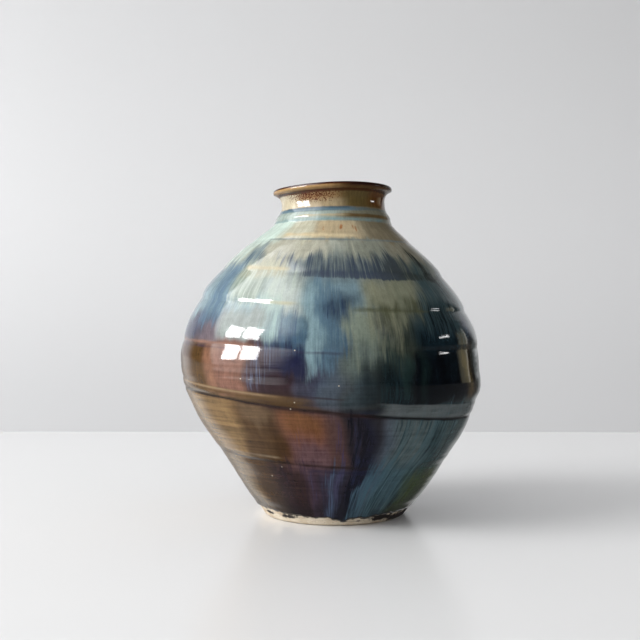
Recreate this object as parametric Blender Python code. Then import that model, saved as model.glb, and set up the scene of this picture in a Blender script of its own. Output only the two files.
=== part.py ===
"""A wheel-thrown stoneware vase: a turned foot ring, two thrown sections, a collared neck and two coats of glaze.

Metres, +Z up. The origin is the centre of the foot, on the surface that the vase stands on.
Every piece is turned about the Z axis from an outline of (radius, height) points.
"""

from math import cos, inf, pi, sin, tau

import bmesh
import bpy
from mathutils import Vector

# Driving dimensions, in metres.
HEIGHT = 0.240
FOOT_RADIUS = 0.0510
FOOT_INNER_RADIUS = 0.0410
FOOT_TOP_RADIUS = 0.0548
FOOT_HEIGHT = 0.0050
FOOT_ROUNDING = 0.0008
FLOOR_HEIGHT = 0.0130
GLAZE = 0.0006  # thickness of a coat of glaze
GAP = 0.0003  # between pieces that touch on the real vase
BELLY_JOIN = 0.0845  # where the upper thrown section sits on the lower one
NECK_JOIN = 0.2160  # where the collar sits on the shoulder
SEGMENTS = 40

# The outer face of the glaze as (height, radius): the lower wall flares from the foot, the belly is
# nearly upright over a hand's width, and the shoulder closes at about 45 degrees.
OUTER_STATIONS = (
    (0.0068, 0.0568),
    (0.0170, 0.0645),
    (0.0350, 0.0763),
    (0.0590, 0.0922),
    (0.0830, 0.1040),
    (0.1110, 0.1093),
    (0.1270, 0.1088),
    (0.1490, 0.1010),
    (0.1710, 0.0872),
    (0.1890, 0.0714),
    (0.2020, 0.0560),
    (0.2120, 0.0446),
    (NECK_JOIN, 0.0428),
)
# The ridges that the fingers left, by height, from the glaze's lower edge to the neck.
# The wall swells a little between one ridge and the next.
RIDGES = (0.0068, 0.0290, 0.0495, BELLY_JOIN, 0.0935, 0.1245, 0.1540, 0.1755, 0.1990, NECK_JOIN)
RIDGE_SWELL = 0.0009
STEPS_BETWEEN_RIDGES = 2

# The neck's outside above the shoulder, and the cavity below the lip, as (radius, height).
NECK_OUTSIDE = ((0.0422, 0.2190), (0.0392, 0.2235), (0.0386, 0.2290), (0.0396, 0.2335), (0.0420, 0.2356))
CAVITY = (
    (0.0394, 0.2374),
    (0.0375, 0.2350),
    (0.0356, 0.2318),
    (0.0345, 0.2275),
    (0.0342, 0.2225),
    (0.0372, 0.2120),
    (0.0478, 0.2020),
    (0.0632, 0.1890),
    (0.0794, 0.1710),
    (0.0938, 0.1490),
    (0.1018, 0.1270),
    (0.1023, 0.1110),
    (0.0966, 0.0830),
    (0.0846, 0.0590),
    (0.0680, 0.0350),
    (0.0560, 0.0215),
    (0.0490, 0.0155),
    (0.0410, FLOOR_HEIGHT),
    (0.0, FLOOR_HEIGHT),
)

# The lip is rolled to a half-round edge. Its angles run from under the outside to the inside.
LIP_RADIUS = 0.0424
LIP_ROLL = 0.0020
LIP_ANGLES = [pi * (-0.30 + 0.20 * step) for step in range(7)]

# Colours are linear RGB.
CLAY = (0.62, 0.50, 0.36, 1.0)
BLUE_GREEN = (0.07, 0.12, 0.14, 1.0)
IRON_BROWN = (0.14, 0.08, 0.04, 1.0)


def clear_scene():
    for item in list(bpy.data.objects):
        bpy.data.objects.remove(item, do_unlink=True)


def material(name, color, roughness):
    made = bpy.data.materials.new(name)
    made.use_nodes = True
    shader = made.node_tree.nodes["Principled BSDF"]
    shader.inputs["Base Color"].default_value = color
    shader.inputs["Roughness"].default_value = roughness
    shader.inputs["Metallic"].default_value = 0.0
    return made


def wall_radius(height):
    """The outer radius at a height, on a smooth curve through the stations."""
    last = len(OUTER_STATIONS) - 1
    index = next(i for i in range(last) if height <= OUTER_STATIONS[i + 1][0])

    def slope(i):
        low, high = OUTER_STATIONS[max(i - 1, 0)], OUTER_STATIONS[min(i + 1, last)]
        return (high[1] - low[1]) / (high[0] - low[0])

    (low_height, low_radius), (high_height, high_radius) = OUTER_STATIONS[index : index + 2]
    span = high_height - low_height
    t = (height - low_height) / span
    straight = low_radius + (high_radius - low_radius) * t * t * (3.0 - 2.0 * t)
    return straight + span * (slope(index) * t * (1.0 - t) ** 2 - slope(index + 1) * t * t * (1.0 - t))


def ridged_wall():
    """The outer face from the glaze's lower edge up to the collar."""
    points = []
    for low, high in zip(RIDGES, RIDGES[1:]):
        for step in range(STEPS_BETWEEN_RIDGES):
            t = step / STEPS_BETWEEN_RIDGES
            height = low + (high - low) * t
            points.append(Vector((wall_radius(height) + RIDGE_SWELL * sin(pi * t), height)))
    return points + [Vector((wall_radius(NECK_JOIN), NECK_JOIN))]


def rolled_lip():
    centre = Vector((LIP_RADIUS, HEIGHT - LIP_ROLL))
    return [centre + LIP_ROLL * Vector((cos(angle), sin(angle))) for angle in LIP_ANGLES]


def liner_start(lip):
    """The liner's first point: a gap further along the lip than the outer glaze's last one."""
    return lip[-1] + (lip[-1] - lip[-2]).normalized() * GAP


def inset(points, distance):
    """The same line moved into the wall, which is on the left of the way that it runs."""
    moved = []
    for before, point, after in zip(points[:1] + points[:-1], points, points[1:] + points[-1:]):
        along = (after - before).normalized()
        moved.append(point + distance * Vector((-along.y, along.x)))
    return moved


def clipped(points, low, high):
    """The part of a line between two heights, cut square at each."""
    kept = []
    for before, after in zip(points, points[1:]):
        if low <= before.y <= high:
            kept.append(before)
        cuts = [cut for cut in (low, high) if min(before.y, after.y) < cut < max(before.y, after.y)]
        for cut in sorted(cuts, key=lambda height: abs(height - before.y)):
            kept.append(before.lerp(after, (cut - before.y) / (after.y - before.y)))
    if low <= points[-1].y <= high:
        kept.append(points[-1])
    return kept


def turned(name, outline, surface):
    """A solid turned about Z. An outline that starts on the axis ends on it too, and stays open there."""
    shape = bmesh.new()
    corners = [shape.verts.new((point.x, 0.0, point.y)) for point in outline]
    pairs = list(zip(corners, corners[1:]))
    if outline[0].x > 0.0:
        pairs.append((corners[-1], corners[0]))
    edges = [shape.edges.new(pair) for pair in pairs]
    bmesh.ops.spin(
        shape,
        geom=corners + edges,
        cent=(0.0, 0.0, 0.0),
        axis=(0.0, 0.0, 1.0),
        angle=tau,
        steps=SEGMENTS,
        use_merge=True,
    )
    bmesh.ops.remove_doubles(shape, verts=shape.verts, dist=1e-6)
    bmesh.ops.recalc_face_normals(shape, faces=shape.faces)
    mesh = bpy.data.meshes.new(name)
    shape.to_mesh(mesh)
    shape.free()
    mesh.shade_smooth()
    mesh.set_sharp_from_angle(angle=0.7)
    mesh.materials.append(surface)
    made = bpy.data.objects.new(name, mesh)
    bpy.context.scene.collection.objects.link(made)


def foot_ring(clay):
    """The bare ring that the vase stands on: flat below, leaning out with the wall, floor on top."""
    top = FOOT_HEIGHT - GAP
    outline = (
        (FOOT_INNER_RADIUS, FOOT_ROUNDING),
        (FOOT_INNER_RADIUS + FOOT_ROUNDING, 0.0),
        (FOOT_RADIUS - FOOT_ROUNDING, 0.0),
        (FOOT_RADIUS, FOOT_ROUNDING),
        (FOOT_TOP_RADIUS, top),
        (FOOT_INNER_RADIUS, top),
    )
    turned("foot_ring", [Vector(point) for point in outline], clay)


def thrown_sections(clay, clay_outside, clay_inside):
    """The clay between the two glazes, in the three sections that the potter joined."""
    half_gap = GAP / 2
    underside = [Vector((0.0, FOOT_HEIGHT)), Vector((FOOT_TOP_RADIUS, FOOT_HEIGHT))]
    lower = clipped(clay_outside, FOOT_HEIGHT, BELLY_JOIN - half_gap)
    lower_inside = clipped(clay_inside, FOOT_HEIGHT, BELLY_JOIN - half_gap)
    turned("lower_body", underside + lower + lower_inside, clay)
    for name, low, high in (
        ("upper_body", BELLY_JOIN + half_gap, NECK_JOIN - half_gap),
        ("neck_collar", NECK_JOIN + half_gap, inf),
    ):
        turned(name, clipped(clay_outside, low, high) + clipped(clay_inside, low, high), clay)


def build():
    clear_scene()
    clay = material("clay", CLAY, 0.85)
    outer_coat = material("outer_glaze", BLUE_GREEN, 0.08)
    inner_coat = material("inner_glaze", IRON_BROWN, 0.15)

    lip = rolled_lip()
    outside = ridged_wall() + [Vector(point) for point in NECK_OUTSIDE] + lip
    inside = [liner_start(lip)] + [Vector(point) for point in CAVITY]

    foot_ring(clay)
    thrown_sections(clay, inset(outside, GLAZE + GAP), inset(inside, GLAZE + GAP))
    turned("outer_glaze", outside + inset(outside, GLAZE)[::-1], outer_coat)
    turned("inner_glaze", inset(inside, GLAZE)[::-1] + inside, inner_coat)


build()
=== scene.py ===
"""The finished look of the stoneware vase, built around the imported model's frame.

Lengths in the tables are millimetres and angles are degrees. An angle round the vase is 0 at the front (-Y)
and grows towards +X. The clay wall, its throwing rings and both coats of glaze are turned here from
outlines, then the glaze colours are laid on as brush strokes, and the glaze's nodes draw them out into runs.
"""

import math

import bpy
import numpy as np
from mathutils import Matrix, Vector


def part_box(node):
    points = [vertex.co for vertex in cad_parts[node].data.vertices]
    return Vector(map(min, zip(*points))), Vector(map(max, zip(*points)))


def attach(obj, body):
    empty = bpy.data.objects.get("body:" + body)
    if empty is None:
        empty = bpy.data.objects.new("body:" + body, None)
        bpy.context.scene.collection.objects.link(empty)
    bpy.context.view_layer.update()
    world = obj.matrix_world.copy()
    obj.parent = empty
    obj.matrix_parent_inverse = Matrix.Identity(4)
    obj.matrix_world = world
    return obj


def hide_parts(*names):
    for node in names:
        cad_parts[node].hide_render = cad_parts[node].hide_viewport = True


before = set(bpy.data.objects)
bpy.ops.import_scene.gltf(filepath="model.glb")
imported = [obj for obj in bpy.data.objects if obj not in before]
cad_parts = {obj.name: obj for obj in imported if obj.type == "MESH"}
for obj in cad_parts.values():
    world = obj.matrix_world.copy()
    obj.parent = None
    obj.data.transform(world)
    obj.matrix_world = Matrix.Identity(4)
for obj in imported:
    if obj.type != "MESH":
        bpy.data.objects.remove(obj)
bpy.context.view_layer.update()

MM = 0.001
foot_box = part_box("foot_ring")
FOOT_HEIGHT = foot_box[1].z / MM
FOOT_BOTTOM = foot_box[0].z / MM

# ---- The outline of the wall ----

# The glaze's outer face where it isn't swollen by a ring, as (height, radius).
WALL = (
    (0, 51.7), (5, 55.4), (11, 60.2), (17, 65), (23, 69), (35, 76.4),
    (47, 84.4), (59, 92.4), (71, 99.2), (83, 104.3), (94, 108.4), (108, 108.7),
    (124, 108.3), (136, 105.6), (149, 100.2), (160, 93.8), (171, 86.2), (180, 79.4),
    (189, 71), (198, 61.2), (205, 52.6), (210, 46.9), (213, 44.2), (216, 42.9),
)
# The neck above its ring and the under-side of the lip, as (radius, height).
NECK = (
    (42.9, 216), (42.6, 217.7), (41.8, 219.3), (40.3, 221.3), (39.1, 223.8), (38.6, 227),
    (38.6, 229.6), (39.2, 232.4), (40.4, 234.5), (42.2, 235.9),
)
LIP_CENTRE = (42.5, 238.0)
LIP_ROLL = 2.0
LIP_TURN = (-0.22, 0.92)  # the arc of the lip from under the outside to the inside, in half turns

# The inside of the finished vase below the lip, as (radius, height).
CAVITY = (
    (40.5, 238.4), (39, 236.9), (37.3, 234.8), (35.7, 231.8), (34.6, 227.5), (34.4, 222.5),
    (37.2, 212.5), (47.6, 202), (63, 189), (79.2, 171), (93.6, 149), (101.4, 127),
    (102, 111), (96.4, 83), (84.4, 59), (67.8, 35), (55.8, 21.5), (48.6, 15.5),
    (40, 13), (20, 12.6), (0, 12.6),
)

GLAZE = 0.6
CLEARANCE = 0.05  # between a coat of glaze and the clay under it

# The creases and ridges round the wall lean, so each has its height at the left, the front and the right.
FINE_LINE = (29.3, 28.9, 28.6)
LOW_GROOVE = (50.5, 44.6, 40.6)
LOW_RIDGE = (54.0, 48.9, 44.4)
SEAM_GROOVE = (96.4, 84.4, 75.2)
SEAM_TOP = (102.6, 92.0, 85.6)
BELLY_CREASE = (129.6, 124.5, 123.3)
SHOULDER_CREASE = (160.6, 151.3, 150.3)
HIGH_CREASE = (181.0, 174.3, 174.7)
TOP_CREASE = (201.5, 198.3, 199.3)
NECK_FOOT = (213.2, 213.2, 213.2)

# Grooves and ridges along the lines, as (line, height above it, half-width, how far out).
CREASES = (
    (SEAM_GROOVE, -0.6, 1.1, -0.42),
    (LOW_RIDGE, 0.0, 1.8, 0.32),
    (LOW_GROOVE, 0.0, 1.8, -0.26),
    (FINE_LINE, 0.0, 0.8, 0.12),
)

# The wall's stretches, from the glaze's lower edge up: the line at its top, its rows, how far it swells, the
# share of it that the swelling takes to rise, and how late it falls away again.
STRETCHES = (
    (FINE_LINE, 20, 0.0, 0.5, 2.0),
    (LOW_GROOVE, 14, 0.2, 0.5, 2.0),
    (LOW_RIDGE, 7, 0.0, 0.5, 2.0),
    (SEAM_GROOVE, 32, 0.3, 0.5, 2.0),
    (SEAM_TOP, 13, 0.0, 0.5, 2.0),
    (BELLY_CREASE, 32, 1.4, 0.22, 3.4),
    (SHOULDER_CREASE, 27, 1.6, 0.45, 2.4),
    (HIGH_CREASE, 23, 2.3, 0.40, 2.2),
    (TOP_CREASE, 23, 1.2, 0.40, 2.2),
    (NECK_FOOT, 16, 0.8, 0.40, 2.0),
)
NECK_ROWS = 28
LIP_ROWS = 12

COLUMNS = 330
CLAY_COLUMNS = 170


def rows_up_to(line):
    """How many of the coat's rows lie below a line."""
    lines = [stretch[0] for stretch in STRETCHES]
    return sum(stretch[1] for stretch in STRETCHES[: lines.index(line) + 1])


def srgb(red, green, blue):
    """A screen colour, 0 to 255, as linear RGB."""
    shares = (red / 255.0, green / 255.0, blue / 255.0)
    return [share / 12.92 if share <= 0.04045 else ((share + 0.055) / 1.055) ** 2.4 for share in shares]


def smoothstep(t):
    t = np.clip(t, 0.0, 1.0)
    return t * t * (3.0 - 2.0 * t)


def bell(distance, half_width):
    return np.exp(-((distance / half_width) ** 2))


def wrapped(degrees):
    return (degrees + 180.0) % 360.0 - 180.0


def all_round(values, columns):
    """The same value all the way round, for each row."""
    return np.repeat(np.asarray(values)[:, None], columns, 1)


def waves(angle, turns, shift=0.0):
    """Waves round the vase, between -1 and 1."""
    return np.sin(np.radians(angle) * turns + shift)


def hermite(xs, ys, at):
    """A smooth curve through points, with the slopes of its neighbours."""
    xs, ys = np.array(xs, float), np.array(ys, float)
    slopes = np.gradient(ys, xs)
    i = np.clip(np.searchsorted(xs, at) - 1, 0, len(xs) - 2)
    span = xs[i + 1] - xs[i]
    t = np.clip((at - xs[i]) / span, 0.0, 1.0)
    blend = t * t * (3.0 - 2.0 * t)
    rise = span * (slopes[i] * t * (1.0 - t) ** 2 - slopes[i + 1] * t * t * (1.0 - t))
    return ys[i] * (1.0 - blend) + ys[i + 1] * blend + rise


def along(points, rows):
    """Rows of (first, second) read from a smooth curve through points, spaced evenly by length."""
    points = np.array(points, float)
    length = np.concatenate([[0.0], np.cumsum(np.hypot(*np.diff(points, axis=0).T))])
    at = np.linspace(0.0, length[-1], rows)
    return hermite(length, points[:, 0], at), hermite(length, points[:, 1], at)


def leaning(line, angle):
    """The height of a leaning line at an angle, from its heights at the left, the front and the right."""
    left, front, right = line
    middle = (left + right) / 2.0
    turn = np.radians(angle)
    return middle + (right - left) / 2.0 * np.sin(turn) + (front - middle) * np.cos(turn)


def wobble(angle, height, count, size, seed):
    """Smooth unevenness: a sum of waves round and up the vase."""
    draw = np.random.default_rng(seed)
    total = np.zeros(np.broadcast(angle, height).shape)
    for _ in range(count):
        turns = draw.integers(1, 9)
        wave = draw.uniform(18.0, 70.0)
        total += waves(angle, turns, height * math.tau / wave + draw.uniform(0.0, math.tau))
    return total * size / math.sqrt(count)


# Where the glaze stopped running above the foot: dips and rises as (angle, half-width, change in height).
GLAZE_EDGE = 7.3
GLAZE_EDGE_WAVES = (
    (4, 6, -3.6), (-16, 6, -1), (20, 7, -1.7), (-62, 22, 1.9),
    (64, 18, 0.8), (104, 9, -1.9), (141, 14, 1.2), (172, 8, -2.4),
    (-150, 10, -1.3), (-112, 12, 1.1),
)


def glaze_edge(angle):
    edge = np.full_like(angle, GLAZE_EDGE)
    for centre, half_width, change in GLAZE_EDGE_WAVES:
        edge += change * bell(wrapped(angle - centre), half_width)
    draw = np.random.default_rng(5)
    for turns in range(11, 60, 3):
        edge += 0.10 * draw.uniform(0.5, 1.5) * waves(angle, turns, draw.uniform(0.0, math.tau))
    return edge


def axis_shift(height):
    """The wall isn't quite true: its centre wanders sideways as it rises."""
    heights = (0.0, 35.0, 60.0, 83.0, 111.0, 150.0, 171.0, 200.0, 216.0, 240.0)
    shifts = (0.0, 1.3, 0.7, -1.4, -3.1, -3.8, -4.0, -3.0, -1.0, -1.5)
    return hermite(heights, shifts, height)


def throwing_marks(angle, height):
    """Fine rings from the fingers and the rib, strongest on the lower wall."""
    level = height - leaning(LOW_RIDGE, angle)
    draw = np.random.default_rng(11)
    total = np.zeros_like(height)
    for wave, size in ((9.3, 0.05), (6.1, 0.05), (4.4, 0.06), (3.2, 0.035)):
        drift = draw.uniform(0.5, 1.2) * waves(angle, 1.0, draw.uniform(0.0, math.tau))
        fade = 0.6 + 0.4 * waves(angle, 2.0, height / 23.0 + draw.uniform(0.0, math.tau))
        total += size * fade * np.sin(height * math.tau / wave + drift + level * 0.05)
    return total * (1.0 - 0.6 * smoothstep((height - 90.0) / 30.0))


def wall_face(angle):
    """The glaze's outer face from its lower edge to the neck: radius and height, a row by column grid."""
    heights, swells = [], []
    low = glaze_edge(angle)
    for line, rows, swell, rise, fall in STRETCHES:
        high = leaning(line, angle)
        for row in range(rows):
            part = row / rows
            part = part - 0.07 * math.sin(math.tau * part)
            heights.append(low + (high - low) * part)
            risen = 1.0 - (1.0 - min(part / rise, 1.0)) ** 2
            swells.append(np.full_like(angle, swell * risen * (1.0 - part**fall)))
        low = high
    height = np.array(heights)
    swell = np.array(swells)
    angles = np.broadcast_to(angle, height.shape)
    above_groove = smoothstep((height - leaning(SEAM_GROOVE, angle)) / 3.2)
    below_top = smoothstep((leaning(SEAM_TOP, angle) - height) / 4.0 + 0.5)
    offset = swell + 0.6 * above_groove * below_top
    for line, above, half_width, out in CREASES:
        offset += out * bell(height - leaning(line, angle) - above, half_width)
    for _ in range(3):
        offset[1:-1] = (offset[:-2] + 2.0 * offset[1:-1] + offset[2:]) / 4.0
    offset += throwing_marks(angles, height)
    uneven = smoothstep((height - 8.0) / 20.0) * smoothstep((213.0 - height) / 20.0)
    offset += wobble(angles, height, 9, 0.22, 3) * uneven
    # the last coat gathered in a soft bead along its lower edge
    offset += 0.35 * bell(height - glaze_edge(angle) - 0.9, 1.1)
    radius = hermite(*zip(*WALL), height) + offset
    return radius, height


def neck_face(angle):
    """The neck and the lip above the wall, leaning a little with the rim."""
    neck_radius, neck_height = along([(WALL[-2][1], WALL[-2][0])] + list(NECK), NECK_ROWS)
    turn = math.pi * np.linspace(*LIP_TURN, LIP_ROWS)
    radius = np.concatenate([neck_radius, LIP_CENTRE[0] + LIP_ROLL * np.cos(turn)])
    height = np.concatenate([neck_height, LIP_CENTRE[1] + LIP_ROLL * np.sin(turn)])
    return rim_lean(all_round(radius, len(angle)), all_round(height, len(angle)), angle)


def rim_share(height):
    """How much a height follows the rim: not at all below the neck, and in full at the lip."""
    return smoothstep((height - 214.0) / 26.0)


def rim_lift(height, angle):
    """The rim stands lower at the left than at the right."""
    lift = 1.5 * waves(angle, 1.0) + 0.2 * np.cos(np.radians(angle)) + 0.2
    return rim_share(height) * (lift + 0.25 * waves(angle, 3.0, 1.0))


def rim_lean(radius, height, angle):
    oval = 0.25 * rim_share(height) * np.cos(np.radians(angle) * 2.0 + 0.6)
    return radius + oval, height + rim_lift(height, angle)


def outer_face(angle):
    """The whole outer face of the outer coat, from its edge above the foot to the inside of the lip."""
    wall_radius, wall_height = wall_face(angle)
    neck_radius, neck_height = neck_face(angle)
    return np.concatenate([wall_radius, neck_radius]), np.concatenate([wall_height, neck_height])


def inner_face(angle, rows=90):
    """The outer face of the liner, from the lip to the middle of the floor."""
    radius, height = along(CAVITY, rows)
    radius, height = all_round(radius, len(angle)), all_round(height, len(angle))
    rings = 0.25 * np.sin(height * math.tau / 17.0 + np.radians(angle)) * smoothstep((height - 20.0) / 15.0)
    rings = rings * smoothstep((215.0 - height) / 15.0)
    return rim_lean(np.maximum(radius + rings, 0.0) * (radius > 0.0), height, angle)


def sunk(radius, height, depth):
    """The face moved into the wall, which is on the left of the way that the rows run."""
    out_radius = np.gradient(height, axis=0)
    out_height = -np.gradient(radius, axis=0)
    length = np.maximum(np.hypot(out_radius, out_height), 1e-9)
    return radius - depth * out_radius / length, height - depth * out_height / length


# ---- Meshes ----


def new_object(name, data):
    made = bpy.data.objects.new(name, data)
    bpy.context.scene.collection.objects.link(made)
    return made


def turned(name, angle, radius, height, closed=True):
    """A solid from a grid of rows by columns. An open one has its first and last rows on the axis."""
    rows, columns = radius.shape
    centre = axis_shift(height)
    x = (radius * np.sin(np.radians(angle)) + centre) * MM
    y = -radius * np.cos(np.radians(angle)) * MM
    z = height * MM
    points = np.stack([x, y, z], axis=-1)
    faces = []
    following = np.roll(np.arange(columns), -1)

    def strip(lower, upper):
        for column in range(columns):
            after = following[column]
            faces.append((lower + column, lower + after, upper + after, upper + column))

    if closed:
        vertices = points.reshape(-1, 3)
        for row in range(rows):
            strip(row * columns, (row + 1) % rows * columns)
    else:
        first = points[0].mean(axis=0)
        last = points[-1].mean(axis=0)
        vertices = np.concatenate([points[1:-1].reshape(-1, 3), [first, last]])
        for row in range(rows - 3):
            strip(row * columns, (row + 1) * columns)
        start, end = len(vertices) - 2, len(vertices) - 1
        top = (rows - 3) * columns
        for column in range(columns):
            after = following[column]
            faces.append((start, after, column))
            faces.append((end, top + column, top + after))
    mesh = bpy.data.meshes.new(name)
    mesh.from_pydata(vertices.tolist(), [], faces)
    mesh.validate()
    mesh.shade_smooth()
    mesh.update()
    return new_object(name, mesh)


def cylinder_map(piece, columns):
    """A plain map for the closing bake: the angle across and the rows up, with its cut at the back."""
    mesh = piece.data
    layer = mesh.uv_layers.new(name="OFBake")
    rows = len(mesh.vertices) // columns
    loops = np.empty(len(mesh.loops), np.int32)
    mesh.loops.foreach_get("vertex_index", loops)
    column = loops % columns
    row = loops // columns
    u = column / columns
    v = row / rows
    for part in (u, v):
        for face in mesh.polygons:
            corners = part[face.loop_start : face.loop_start + face.loop_total]
            if corners.max() - corners.min() > 0.5:
                corners[corners < 0.5] += 1.0
    uv = np.stack([u / (1.0 + 1.0 / columns), v / (1.0 + 1.0 / rows)], axis=-1)
    layer.data.foreach_set("uv", uv.astype(np.float32).ravel())


def finish_piece(piece, surface, slot, *nodes):
    piece.data.materials.append(surface)
    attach(piece, "root")
    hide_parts(*nodes)


# ---- Glaze colours, with some painted shade, highlights and reflections, as strokes on the wall ----

# The glaze's colours, from where it lies thick and pale to where it is thin or starved, as screen colours.
MINT = (184, 200, 190)
CELADON = (150, 168, 163)
AQUA = (120, 142, 146)
SAGE = (122, 132, 118)
LICHEN = (112, 114, 94)
OLIVE = (76, 78, 58)
OCHRE = (152, 122, 84)
TOFFEE = (120, 96, 64)
UMBER = (76, 55, 33)
RUST = (104, 64, 39)
ROSE = (118, 85, 72)
MAROON = (80, 59, 59)
PLUM = (44, 31, 34)
MAUVE = (60, 47, 58)
NAVY = (22, 26, 44)
INK = (8, 13, 19)
SLATE = (76, 88, 101)
STEEL = (96, 117, 130)
PEWTER = (82, 92, 92)
TEAL = (38, 64, 68)
LAGOON = (56, 82, 92)


def wander(angle, height):
    """How far the runs stray sideways on their way down, in degrees."""
    slow = 1.5 * waves(angle, 3.0, height * math.tau / 71.0)
    quick = 0.9 * waves(angle, 7.0, height * math.tau / 29.0 + 1.0)
    return slow + quick + 0.5 * waves(angle, 47.0, height / 19.0)


# Where the glaze hardly ran past a crease, as (line, height above it, reach, share).
CALM_LINES = ((SEAM_GROOVE, 3.0, 10.0, 0.9), (LOW_GROOVE, 0.0, 6.0, 0.7), (HIGH_CREASE, -3.0, 5.0, 0.8))


def run_lengths(angle, height):
    """How much further each thread of glaze ran than its neighbours, in mm. The neck's bands stay level."""
    draw = np.random.default_rng(21)
    total = np.zeros_like(height)
    for turns, size in ((5, 1.0), (11, 1.1), (19, 1.1), (31, 1.0), (47, 1.0), (71, 0.9), (97, 0.9)):
        turned_by = draw.uniform(0.0, math.tau) + height / draw.uniform(25.0, 60.0)
        total += size * waves(angle, turns, turned_by)
    for line, above, reach, share in CALM_LINES:
        total *= 1.0 - share * bell(height - leaning(line, angle) - above, reach)
    at_belly = bell(height - leaning(BELLY_CREASE, angle), 6.0) * bell(wrapped(angle + 50.0), 26.0)
    total *= 1.0 - 0.8 * at_belly
    return total * smoothstep((208.0 - height) / 16.0)


# Where the glaze pooled along the foot of the high crease.
HIGH_CREASE_FOOT = (177.0, 171.0, 171.0)
HIGH_CREASE_HEAD = (181.0, 176.0, 176.5)


class Layer:
    """Strokes of glaze that lie over each other: a colour and how much of it covers what is below."""

    def __init__(self, angle, height, ground=None):
        self.angle = angle
        self.height = height
        self.run_angle = angle + wander(angle, height)
        self.run_height = height + run_lengths(angle, height)
        self.colour = np.zeros(angle.shape + (3,))
        self.cover = np.zeros(angle.shape)
        if ground is not None:
            self.colour[:] = srgb(*ground)
            self.cover[:] = 1.0

    def lay(self, share, colour):
        """Lays a colour over what is there. It spreads past the stroke, so that the edge stays clean."""
        share = np.clip(share, 0.0, 1.0)
        cover = share + self.cover * (1.0 - share)
        mix = np.where(cover > 1e-6, share / np.maximum(cover, 1e-6), 0.0)[..., None]
        self.colour = self.colour * (1.0 - mix) + np.array(srgb(*colour)) * mix
        self.cover = cover

    def across(self, left, right, soft, angle):
        """How far a stroke between two angles covers a place, with soft ends."""
        aside = np.abs(wrapped(angle - (left + right) / 2.0))
        return smoothstep(((right - left) / 2.0 - aside) / soft + 0.5)

    def patch(self, left, right, low, high, colour, strength, sides, ends, lean=0.0):
        """A stroke between two angles and two heights. It leans by degrees for each mm that it rises."""
        upright = self.run_angle - lean * (self.height - (low + high) / 2.0)
        from_foot = smoothstep((self.run_height - low) / ends + 0.5)
        to_top = smoothstep((high - self.run_height) / ends + 0.5)
        self.lay(strength * self.across(left, right, sides, upright) * from_foot * to_top, colour)

    def paint(self, strokes):
        for stroke in strokes:
            self.patch(*stroke)
        return self

    def paint_runs(self, runs, top, strength, sides, ends):
        """Runs that all start at one height, given as (middle, width, lowest height, colour)."""
        for middle, width, low, colour in runs:
            self.patch(middle - width / 2, middle + width / 2, low, top, colour, strength, sides, ends)
        return self

    def band(self, foot, head, left, right, colour, strength, sides, ends):
        """A stroke between two of the leaning lines round the wall."""
        from_foot = smoothstep((self.height - leaning(foot, self.angle)) / ends + 0.5)
        to_head = smoothstep((leaning(head, self.angle) - self.height) / ends + 0.5)
        self.lay(strength * self.across(left, right, sides, self.angle) * from_foot * to_head, colour)

    def ring(self, line, left, right, colour, strength, half_width, above, soft):
        """A stroke along one of the leaning lines round the wall."""
        level = self.height - leaning(line, self.angle) - above
        self.lay(strength * self.across(left, right, soft, self.angle) * bell(level, half_width), colour)


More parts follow.
